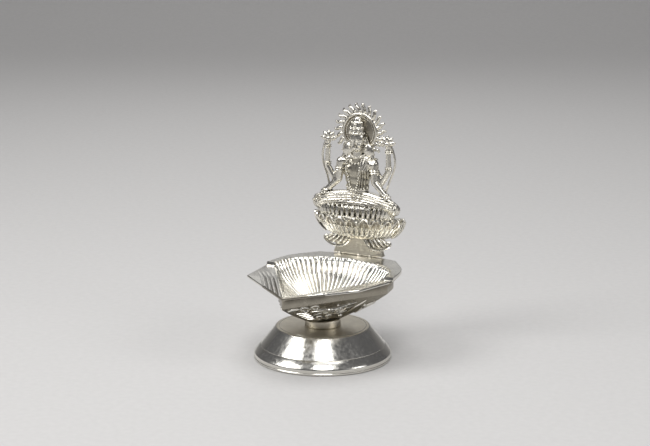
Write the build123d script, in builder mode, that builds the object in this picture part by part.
from build123d import *
import os
from math import cos, radians, sin

os.makedirs("parts", exist_ok=True)

# Sizes in millimetres. The lamp stands on z = 0 on its centre axis, and its spout points along -Y.

# Foot: a hollow spun cone with a flat ledge on top
foot_radius = 25.0
foot_band_height = 2.3
foot_height = 11.9
ledge_radius = 17.0
foot_wall = 1.0
ledge_edge_bevel = 0.4
groove_height = 5.0
groove_depth = 0.25

# Centre stud and the gaps round it
stud_radius = 2.0
stud_below_nut = 1.0
stud_end_chamfer = 0.4
running_gap = 0.08
thread_gap = 0.05

# Neck ring between the foot and the bowl
ring_radius = 6.5
ring_height = 2.8
ring_edge_bevel = 0.5

# Washer and nut inside the foot
washer_radius = 4.5
washer_thickness = 0.8
nut_across_flats = 7.0
nut_height = 3.2

# Bowl heights above the neck ring
floor_height = 3.6
cone_height = 10.6
fold_height = 13.0
rim_height = 15.7
flange_rise = 1.1
tip_drop = 1.1

# Bowl rim in plan, right half: spout tip, wing point, side, hip, back corner and back
tip_reach = 31.0
wing_x, wing_y = 22.6, -15.6
wing_thickness = 1.2
side_x, side_y = 25.8, 5.0
hip_x, hip_y = 23.4, 17.0
corner_x, corner_y = 16.0, 27.5
back_reach = 31.0

# Bowl walls, the flat flange at the back and the flutes of the hollow
bowl_wall = 1.4
flange_width = 8.8
fold_inset = 2.2
pad_share = 0.27
floor_share = 0.34
cone_share = 0.93
front_facets, flank_facets, rear_facets = 12, 7, 3
flute_count = 64
flute_depth = 0.9
plain_band = 1.2

# Tab that stands on the flange
tab_half_width = 10.2
tab_height = 6.9
tab_thickness = 2.6
tab_back_inset = 0.4
tab_waist = 0.8

# Drooping leaves on the tab's front
leaf_thickness = 1.5
leaf_root_x = 2.6
leaf_belly_x = 8.2
leaf_tip_x = 14.2
leaf_drop = 3.4
leaf_tip_drop = 0.9
leaf_top_gap = 0.3

# Lotus seat
lotus_height = 8.6
lotus_base_half, lotus_base_depth = 11.5, 4.4
lotus_middle_half, lotus_middle_depth = 16.0, 6.6
lotus_top_half, lotus_top_depth = 17.4, 7.4
petal_thickness = 0.9
petal_lean = 22.0
upper_petals = 7
upper_petal_length = 6.2
upper_petal_bulge = 2.1
lower_petals = 6
lower_petal_length = 7.0
lower_petal_bulge = 2.7
petal_span = 150.0
seat_facets = 18

# Seated figure: each rise counts from the level below it, and depths count forward of the flat back
cloth_height = 3.6
cloth_half_width = 14.2
cloth_depth = 6.4
pleat_count = 20
pleat_depth = 0.8
knee_x, knee_rise = 16.6, 3.4
leg_depth = 3.2
leg_half_height, leg_half_depth = 2.5, 3.0
leg_arch = 1.4
leg_steps = 7
body_depth = 1.8
hip_half_width, hip_half_depth = 5.4, 3.4
waist_rise, waist_half_width, waist_half_depth = 7.4, 4.6, 2.7
chest_rise, chest_half_width, chest_half_depth = 6.7, 6.6, 3.5
shoulder_rise, shoulder_half_width, shoulder_half_depth = 3.9, 7.0, 2.5
neck_rise, neck_radius = 1.8, 1.8
head_rise, head_radius, head_half_height = 5.8, 3.2, 4.4
crown_brim_rise, crown_brim_radius = 2.4, 3.6
crown_step_rise, crown_step_radius = 2.6, 2.4
crown_top_rise, crown_top_radius = 3.2, 0.9
oval_facets = 16
ball_steps = 6
ball_tilt = 75.0

# Arms of the figure: places across, heights above the seat and depths forward of the flat back
arm_radius = 1.3
arm_facets = 10
arm_root_x, arm_root_drop = 6.0, 1.0
raised_depth = 1.4
raised_elbow_x, raised_elbow_height = 10.4, 13.4
raised_wrist_x, raised_wrist_height = 12.6, 27.0
lowered_elbow_x, lowered_elbow_height, lowered_elbow_depth = 8.2, 13.0, 2.6
lowered_wrist_x, lowered_wrist_height, lowered_wrist_depth = 15.0, 6.4, 3.6
hand_radius, hand_half_height = 1.9, 1.4
bud_radius, bud_half_height = 2.9, 2.8

# Halo behind the head
halo_above_head = 2.1
halo_radius = 6.5
halo_thickness = 1.2
halo_lip_width = 1.0
halo_lip_rise = 0.6
halo_lip_foot = 4.5
flame_count = 18
flame_reach = 10.9
flame_half_width = 1.15
flame_root_overlap = 0.6
flame_span = 290.0

# Levels and planes that follow from the sizes above
bore_radius = stud_radius + running_gap
ring_top = foot_height + ring_height
ledge_underside = foot_height - foot_wall
washer_underside = ledge_underside - washer_thickness
nut_underside = washer_underside - nut_height
cone_level = ring_top + cone_height
fold_level = ring_top + fold_height
rim_level = ring_top + rim_height
flange_level = rim_level + flange_rise
lotus_level = flange_level + tab_height
seat_level = lotus_level + lotus_height
tab_back = back_reach - tab_back_inset
tab_front = tab_back - tab_thickness
figure_back = tab_back - halo_thickness
knee_level = seat_level + knee_rise
waist_level = knee_level + waist_rise
chest_level = waist_level + chest_rise
shoulder_level = chest_level + shoulder_rise
neck_level = shoulder_level + neck_rise
head_level = neck_level + head_rise
brim_level = head_level + crown_brim_rise
crown_step_level = brim_level + crown_step_rise
crown_level = crown_step_level + crown_top_rise
body_y = figure_back - body_depth


# Foot shell
with BuildPart() as foot_shell:
    slope = (foot_radius - ledge_radius) / (foot_height - foot_band_height)
    groove_radius = foot_radius - (groove_height - foot_band_height) * slope
    with BuildSketch(Plane.XZ):
        with BuildLine():
            Polyline(
                (bore_radius, foot_height),
                (ledge_radius, foot_height),
                (groove_radius - groove_depth * slope, groove_height + groove_depth),
                (groove_radius - groove_depth, groove_height),
                (groove_radius + groove_depth * slope, groove_height - groove_depth),
                (foot_radius, foot_band_height),
                (foot_radius, 0),
                (foot_radius - foot_wall, 0),
                (foot_radius - foot_wall, foot_band_height),
                (ledge_radius - foot_wall, ledge_underside),
                (bore_radius, ledge_underside),
                close=True,
            )
        make_face()
    revolve(axis=Axis.Z)
    top_circles = foot_shell.edges().filter_by(GeomType.CIRCLE).group_by(Axis.Z)[-1]
    chamfer(top_circles.sort_by(SortBy.RADIUS)[-1], ledge_edge_bevel)

# Neck ring
with BuildPart() as neck_ring:
    with BuildSketch(Plane.XY.offset(foot_height)):
        Circle(ring_radius)
        Circle(bore_radius, mode=Mode.SUBTRACT)
    extrude(amount=ring_height)
    chamfer(neck_ring.edges().filter_by(GeomType.CIRCLE).sort_by(SortBy.RADIUS)[-2:], ring_edge_bevel)

# Washer under the ledge
with BuildPart() as foot_washer:
    with BuildSketch(Plane.XY.offset(washer_underside)):
        Circle(washer_radius)
        Circle(bore_radius, mode=Mode.SUBTRACT)
    extrude(amount=washer_thickness)

# Nut on the stud
with BuildPart() as stud_nut:
    with BuildSketch(Plane.XY.offset(nut_underside)):
        RegularPolygon(nut_across_flats / 2, 6, major_radius=False)
        Circle(stud_radius + thread_gap, mode=Mode.SUBTRACT)
    extrude(amount=nut_height)

# Stud brazed to the bowl's underside
with BuildPart() as bowl_stud:
    stud_end = nut_underside - stud_below_nut
    with BuildSketch(Plane.XY.offset(stud_end)):
        Circle(stud_radius)
    extrude(amount=ring_top - stud_end)
    chamfer(bowl_stud.edges().sort_by(Axis.Z)[0], stud_end_chamfer)


def polygon(plane, corners):
    """A closed flat polygon on a plane."""
    with BuildSketch(plane) as section:
        with BuildLine():
            Polyline(*corners, close=True)
        make_face()
    return section.sketch


def bowl_outline(front, flank, rear):
    """Corners all round, from the spout tip to the back and home, with each curve cut into facets."""
    right = []
    for curve, facets in ((front, front_facets), (flank, flank_facets), (rear, rear_facets)):
        right += [curve @ (step / facets) for step in range(facets)]
    back = rear @ 1
    left = [Vector(-point.X, point.Y) for point in reversed(right[1:])]
    return [(point.X, point.Y) for point in (*right, back, *left)]


def rim_outline():
    """The rim in plan without its wings, straight from the spout tip to the sides."""
    side = (side_x, side_y)
    corner = (corner_x, corner_y)
    front = Line((0, -tip_reach), side, mode=Mode.PRIVATE)
    flank = Spline(side, (hip_x, hip_y), corner, mode=Mode.PRIVATE)
    rear = Line(corner, (0, back_reach), mode=Mode.PRIVATE)
    return bowl_outline(front, flank, rear)


def fold_outline(inset=0.0):
    """The outline at the fold, straight from the spout tip to the sides, moved inward by an inset."""
    narrow = fold_inset + inset
    side = (side_x - narrow, side_y)
    hip = (hip_x - narrow, hip_y - narrow)
    corner = (corner_x - narrow, corner_y - flange_width / 2 - narrow)
    front = Line((0, inset - tip_reach), side, mode=Mode.PRIVATE)
    flank = Spline(side, hip, corner, mode=Mode.PRIVATE)
    rear = Line(corner, (0, back_reach - flange_width + bowl_wall - inset), mode=Mode.PRIVATE)
    return bowl_outline(front, flank, rear)


def shrunk(corners, share):
    """The same corners drawn in towards the lamp's axis."""
    return [(x * share, y * share) for x, y in corners]


def fluted_outline():
    """A zigzag that follows the inside of the fold, with one ridge and one valley to a flute."""
    guide = polygon(Plane.XY, fold_outline(inset=bowl_wall)).wire()
    corners = []
    for step in range(2 * flute_count):
        point = guide.position_at(step / (2 * flute_count))
        reach = 1 - flute_depth * (step % 2) / point.length
        corners.append((point.X * reach, point.Y * reach))
    return corners


# Bowl: a cone under a folded rim with two pointed wings, a fluted hollow and a raised flange at the back
with BuildPart() as bowl:
    outside = fold_outline()
    hollow = fluted_outline()
    loft(
        sections=[
            polygon(Plane.XY.offset(ring_top), shrunk(outside, pad_share)),
            polygon(Plane.XY.offset(cone_level), outside),
            polygon(Plane.XY.offset(fold_level), outside),
            polygon(Plane.XY.offset(rim_level), rim_outline()),
        ],
        ruled=True,
    )
    with BuildSketch(Plane.XY.offset(rim_level)):
        add(polygon(Plane.XY, rim_outline()))
        with Locations((0, side_y)):
            Rectangle(4 * side_x, 2 * back_reach, align=(Align.CENTER, Align.MIN), mode=Mode.INTERSECT)
    extrude(amount=flange_rise)
    loft(
        sections=[
            polygon(Plane.XY.offset(ring_top + floor_height), shrunk(hollow, floor_share)),
            polygon(Plane.XY.offset(cone_level + bowl_wall / 2), shrunk(hollow, cone_share)),
            polygon(Plane.XY.offset(flange_level - plain_band), hollow),
        ],
        ruled=True,
        mode=Mode.SUBTRACT,
    )
    loft(
        sections=[
            polygon(Plane.XY.offset(flange_level - plain_band), fold_outline(bowl_wall)),
            polygon(Plane.XY.offset(flange_level), fold_outline(bowl_wall / 2)),
        ],
        ruled=True,
        mode=Mode.SUBTRACT,
    )
    with BuildSketch(Plane.YZ):
        with BuildLine():
            Polyline(
                (side_y, rim_level),
                (-tip_reach, rim_level - tip_drop),
                (-2 * tip_reach, rim_level - tip_drop),
                (-2 * tip_reach, 2 * flange_level),
                (side_y, 2 * flange_level),
                close=True,
            )
        make_face()
    extrude(amount=2 * side_x, both=True, mode=Mode.SUBTRACT)
    tip = Vector(0, -tip_reach, rim_level - tip_drop)
    side = Vector(side_x, side_y, rim_level)
    point = Vector(wing_x, wing_y, flange_level)
    lip = Plane(tip, x_dir=side - tip, z_dir=(point - tip).cross(side - tip))
    across = lip.to_local_coords(point)
    along = (side - tip).length
    inward = bowl_wall / 2
    wing = polygon(lip, [(0, 0), (across.X, across.Y), (along, 0), (along, inward), (inward, inward)])
    wings = extrude(wing, amount=wing_thickness, dir=(0, 0, -1))
    mirror(wings, about=Plane.YZ)

# Tab that carries the figure, a little narrower at its middle
with BuildPart() as figure_tab:
    with BuildSketch(Plane.XZ.offset(-tab_back)):
        with BuildLine():
            Line((0, flange_level), (tab_half_width, flange_level))
            ThreePointArc(
                (tab_half_width, flange_level),
                (tab_half_width - tab_waist, flange_level + tab_height / 2),
                (tab_half_width, lotus_level),
            )
            Line((tab_half_width, lotus_level), (0, lotus_level))
            mirror(about=Plane.YZ)
        make_face()
    extrude(amount=tab_thickness)

# Drooping leaves, one on each side
with BuildPart() as drooping_leaves:
    leaf_top = lotus_level - leaf_top_gap
    leaf_tip = (leaf_tip_x, lotus_level - leaf_tip_drop)
    with BuildSketch(Plane.XZ.offset(-tab_front)):
        with BuildLine():
            Spline((leaf_root_x, leaf_top), (leaf_belly_x, lotus_level - leaf_drop), leaf_tip)
            Line(leaf_tip, (leaf_belly_x, leaf_top))
            Line((leaf_belly_x, leaf_top), (leaf_root_x, leaf_top))
        make_face()
        mirror(about=Plane.YZ)
    extrude(amount=leaf_thickness)


def seat_outline(level, half_width, depth):
    """Half an oval in plan with a straight back on the tab's back plane."""
    corners = []
    for step in range(seat_facets + 1):
        turn = radians(180 + 180 * step / seat_facets)
        corners.append((half_width * cos(turn), tab_back + depth * sin(turn)))
    return polygon(Plane.XY.offset(level), corners)


def petal(turn, level, half_width, depth, length, bulge):
    """A pointed petal that faces outward from the lotus's oval, turned from the front by an angle."""
    across = sin(radians(turn))
    forward = cos(radians(turn))
    upright = Plane(
        origin=(half_width * across, tab_back - depth * forward, level),
        x_dir=(half_width * forward, depth * across, 0),
        z_dir=(depth * across, -half_width * forward, 0),
    )
    with BuildSketch(upright.rotated((petal_lean, 0, 0))) as face:
        with BuildLine():
            ThreePointArc((0, -length / 2), (bulge, 0), (0, length / 2))
            mirror(about=Plane.YZ)
        make_face()
    return face.sketch


# Lotus seat with two rows of petals
with BuildPart() as lotus_seat:
    loft(
        sections=[
            seat_outline(lotus_level, lotus_base_half, lotus_base_depth),
            seat_outline(lotus_level + lotus_height / 2, lotus_middle_half, lotus_middle_depth),
            seat_outline(seat_level, lotus_top_half, lotus_top_depth),
        ],
        ruled=True,
    )
    for index in range(upper_petals):
        turn = petal_span * (index / (upper_petals - 1) - 0.5)
        level = seat_level - upper_petal_length / 2
        top = (lotus_top_half, lotus_top_depth)
        face = petal(turn, level, *top, upper_petal_length, upper_petal_bulge)
        extrude(face, amount=petal_thickness, both=True)
    for index in range(lower_petals):
        turn = petal_span * ((index + 0.5) / lower_petals - 0.5)
        level = lotus_level + lower_petal_length / 2
        middle = (lotus_middle_half, lotus_middle_depth)
        face = petal(turn, level, *middle, lower_petal_length, lower_petal_bulge)
        extrude(face, amount=petal_thickness, both=True)
    with BuildSketch(Plane.XY.offset(lotus_level)):
        with Locations((0, tab_back)):
            Rectangle(4 * lotus_top_half, 4 * lotus_top_depth, align=(Align.CENTER, Align.MAX))
    extrude(amount=lotus_height, mode=Mode.INTERSECT)


def oval(plane, half_width, half_depth):
    """A many-sided oval about the origin of a plane."""
    turns = [radians(360 * (step + 0.5) / oval_facets) for step in range(oval_facets)]
    return polygon(plane, [(half_width * cos(turn), half_depth * sin(turn)) for turn in turns])


def ball(x, y, level, radius, half_height):
    """Level ovals that give a rounded form when they are lofted."""
    sections = []
    for step in range(ball_steps + 1):
        tilt = radians(ball_tilt * (2 * step / ball_steps - 1))
        plane = Plane((x, y, level + half_height * sin(tilt)))
        sections.append(oval(plane, radius * cos(tilt), radius * cos(tilt)))
    return sections


def body_oval(level, half_width, half_depth):
    """A level oval about the figure's own axis."""
    return oval(Plane((0, body_y, level)), half_width, half_depth)


def arm(root, elbow, wrist):
    """An arm of two straight lengths."""
    with BuildPart(mode=Mode.PRIVATE) as limb:
        with BuildLine() as bones:
            Polyline(root, elbow, wrist)
        with BuildSketch(Plane(origin=bones.line @ 0, z_dir=bones.line % 0)):
            RegularPolygon(arm_radius, arm_facets)
        sweep(path=bones.line, transition=Transition.RIGHT)
    return limb.part


# Seated figure, a relief with a flat back
with BuildPart() as seated_figure:
    pleats = []
    for step in range(2 * pleat_count + 1):
        turn = radians(180 + 180 * step / (2 * pleat_count))
        fold = pleat_depth * (step % 2)
        pleat_x = (cloth_half_width - fold) * cos(turn)
        pleats.append((pleat_x, figure_back + (cloth_depth - fold) * sin(turn)))
    extrude(polygon(Plane.XY.offset(seat_level), pleats), amount=cloth_height)

    # Crossed legs, rounded at the knees and higher where they cross
    legs = []
    for step in range(-leg_steps, leg_steps + 1):
        lean = radians(ball_tilt * step / leg_steps)
        origin = (knee_x * sin(lean), figure_back - leg_depth, knee_level + leg_arch * cos(lean))
        swell = cos(lean) ** 0.5
        across = Plane(origin, x_dir=(0, 1, 0), z_dir=(1, 0, 0))
        legs.append(oval(across, leg_half_depth * swell, leg_half_height * swell))
    loft(sections=legs, ruled=True)

    # Trunk from the hips to the neck
    loft(
        sections=[
            body_oval(knee_level, hip_half_width, hip_half_depth),
            body_oval(waist_level, waist_half_width, waist_half_depth),
            body_oval(chest_level, chest_half_width, chest_half_depth),
            body_oval(shoulder_level, shoulder_half_width, shoulder_half_depth),
            body_oval(neck_level, neck_radius, neck_radius),
            body_oval(head_level, neck_radius, neck_radius),
        ],
        ruled=True,
    )

    # Head, and a crown in steps that starts inside it
    loft(sections=ball(0, body_y, head_level, head_radius, head_half_height), ruled=True)
    loft(
        sections=[
            body_oval(head_level, neck_radius, neck_radius),
            body_oval(brim_level, crown_brim_radius, crown_brim_radius),
            body_oval(crown_step_level, crown_step_radius, crown_step_radius),
            body_oval(crown_level, crown_top_radius, crown_top_radius),
        ],
        ruled=True,
    )

    # Two raised arms with buds, and two lowered arms with the hands on the knees
    for side in (-1, 1):
        root_level = shoulder_level - arm_root_drop
        raised_y = figure_back - raised_depth
        bud_level = seat_level + raised_wrist_height + bud_half_height / 2
        wrist_level = seat_level + lowered_wrist_height
        wrist_y = figure_back - lowered_wrist_depth
        elbow_y = figure_back - lowered_elbow_depth
        add(
            arm(
                (side * arm_root_x, raised_y, root_level),
                (side * raised_elbow_x, raised_y, seat_level + raised_elbow_height),
                (side * raised_wrist_x, raised_y, seat_level + raised_wrist_height),
            )
        )
        add(
            arm(
                (side * arm_root_x, body_y, root_level),
                (side * lowered_elbow_x, elbow_y, seat_level + lowered_elbow_height),
                (side * lowered_wrist_x, wrist_y, wrist_level),
            )
        )
        bud = ball(side * raised_wrist_x, raised_y, bud_level, bud_radius, bud_half_height)
        loft(sections=bud, ruled=True)
        hand = ball(side * lowered_wrist_x, wrist_y, wrist_level, hand_radius, hand_half_height)
        loft(sections=hand, ruled=True)

    # The flat back
    with BuildSketch(Plane.XY.offset(seat_level)):
        with Locations((0, figure_back)):
            Rectangle(4 * knee_x, 4 * cloth_depth, align=(Align.CENTER, Align.MIN))
    extrude(amount=2 * crown_level, mode=Mode.SUBTRACT)

# Halo, flat against the back of the head
with BuildPart() as halo:
    halo_level = head_level + halo_above_head
    halo_center = (0, halo_level)
    with BuildSketch(Plane.XZ.offset(-tab_back)):
        with Locations(halo_center):
            Circle(halo_radius)
            for index in range(flame_count):
                turn = 90 + flame_span * (index / (flame_count - 1) - 0.5)
                root = halo_radius - flame_root_overlap
                widest = (halo_radius + flame_reach) / 2
                with Locations(Rotation(0, 0, turn)):
                    with BuildLine(mode=Mode.PRIVATE) as flame:
                        Polyline(
                            (root, -flame_half_width / 2),
                            (widest, -flame_half_width),
                            (flame_reach, 0),
                            (widest, flame_half_width),
                            (root, flame_half_width / 2),
                            close=True,
                        )
                    add(make_face(flame.line, mode=Mode.PRIVATE))
    extrude(amount=halo_thickness)
    with BuildSketch(Plane.XZ.offset(-figure_back)):
        with Locations(halo_center):
            Circle(halo_radius)
            Circle(halo_radius - halo_lip_width, mode=Mode.SUBTRACT)
        with Locations((0, halo_level - halo_lip_foot)):
            Rectangle(3 * halo_radius, 3 * halo_radius, align=(Align.CENTER, Align.MAX), mode=Mode.SUBTRACT)
    extrude(amount=halo_lip_rise)

# Export, one file for each piece
pieces = {
    "foot_shell": foot_shell,
    "neck_ring": neck_ring,
    "foot_washer": foot_washer,
    "bowl": bowl,
    "bowl_stud": bowl_stud,
    "stud_nut": stud_nut,
    "figure_tab": figure_tab,
    "drooping_leaves": drooping_leaves,
    "lotus_seat": lotus_seat,
    "seated_figure": seated_figure,
    "halo": halo,
}
for name, piece in pieces.items():
    piece.part.label = name
    export_step(piece.part, f"parts/{name}.step")
    print(name, round(piece.part.volume, 1), len(piece.part.solids()))
